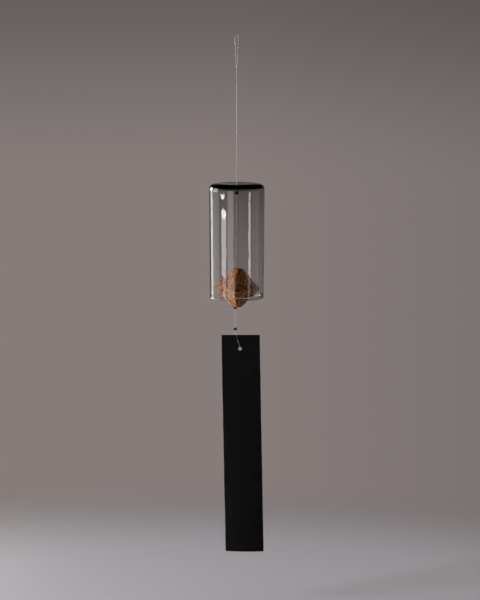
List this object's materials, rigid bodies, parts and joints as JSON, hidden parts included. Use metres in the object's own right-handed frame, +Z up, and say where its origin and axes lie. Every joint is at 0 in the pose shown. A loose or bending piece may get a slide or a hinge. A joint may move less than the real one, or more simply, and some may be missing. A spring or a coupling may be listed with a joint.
{
  "type": "furin wind bell",
  "caption": "Cylindrical smoke-glass wind bell on a cord loop, with a faceted wooden clapper inside and a long paper strip below that catches the wind.",
  "frame": {"origin": "inside the top of the hanging loop, where a hook or nail carries it", "axes": "+Z up along the hanging cord, -Y to the front, +X to the right seen from the front"},
  "size_m": [0.06, 0.06, 0.5599],
  "materials": {
    "smoke_glass": "mouth-blown, glossy, neutral smoke grey",
    "walnut": "sanded and lightly oiled, flecked grain",
    "black_bead": "opaque black glass, etched matt",
    "nylon_cord": "clear undyed nylon line, satin",
    "black_paper": "black dyed fibre paper, matte"
  },
  "bodies": {
    "hook_loop": {"hanging_loop": "nylon_cord"},
    "loop_knot": {"loop_knot": "nylon_cord"},
    "hanging_cord": {"hanging_cord": "nylon_cord"},
    "bell_bead": {"bell_bead": "black_bead"},
    "bell": {"glass_bell": "smoke_glass"},
    "bell_knot": {"bell_knot": "nylon_cord"},
    "clapper_cord": {"clapper_cord": "nylon_cord"},
    "clapper": {"wood_clapper": "walnut"},
    "clapper_bead": {"clapper_bead": "black_bead"},
    "clapper_knot": {"clapper_knot": "nylon_cord"},
    "tail": {"tail_cord": "nylon_cord", "strip_bead": "black_bead"},
    "strip_loop": {"strip_knot": "nylon_cord", "strip_loop": "nylon_cord"},
    "strip": {"paper_strip": "black_paper"}
  },
  "joints": [
    {"name": "swing_side", "type": "hinge", "parent": "hook_loop", "child": "loop_knot", "pos_m": [0, 0, -0.0332], "axis": [0, 1, 0], "range_deg": [-30, 30]},
    {"name": "swing_front", "type": "hinge", "parent": "loop_knot", "child": "hanging_cord", "pos_m": [0, 0, -0.0332], "axis": [1, 0, 0], "range_deg": [-30, 30]},
    {"name": "bell_turn", "type": "hinge", "parent": "hanging_cord", "child": "bell_bead", "pos_m": [0, 0, -0.1674], "axis": [0, 0, 1], "continuous": true},
    {"name": "bell_tilt", "type": "hinge", "parent": "bell_bead", "child": "bell", "pos_m": [0, 0, -0.1696], "axis": [0, 1, 0], "range_deg": [-6, 6]},
    {"name": "clapper_turn", "type": "hinge", "parent": "bell", "child": "bell_knot", "pos_m": [0, 0, -0.1696], "axis": [0, 0, 1], "continuous": true},
    {"name": "clapper_swing", "type": "hinge", "parent": "bell_knot", "child": "clapper_cord", "pos_m": [0, 0, -0.1696], "axis": [0, 1, 0], "range_deg": [-1.1, 0.4]},
    {"name": "clapper_spin", "type": "hinge", "parent": "clapper_cord", "child": "clapper", "pos_m": [-0.00076, 0, -0.26991], "axis": [0.0314, 0, 0.9995], "continuous": true},
    {"name": "tail_turn", "type": "hinge", "parent": "clapper_cord", "child": "clapper_bead", "pos_m": [-0.00162, 0, -0.29375], "axis": [0.0131, 0, 0.9999], "continuous": true},
    {"name": "tail_side", "type": "hinge", "parent": "clapper_bead", "child": "clapper_knot", "pos_m": [-0.00162, 0, -0.29375], "axis": [0, 1, 0], "range_deg": [-30, 30]},
    {"name": "tail_front", "type": "hinge", "parent": "clapper_knot", "child": "tail", "pos_m": [-0.00162, 0, -0.29375], "axis": [1, 0, 0], "range_deg": [-45, 45]},
    {"name": "strip_flap", "type": "hinge", "parent": "tail", "child": "strip_loop", "pos_m": [-0.00162, 0, -0.31676], "axis": [0.9925, -0.1219, 0], "range_deg": [-45, 45]},
    {"name": "strip_sway", "type": "hinge", "parent": "strip_loop", "child": "strip", "pos_m": [0.00354, -0.00063, -0.33411], "axis": [0.1219, 0.9925, 0], "range_deg": [-20, 20]}
  ]
}
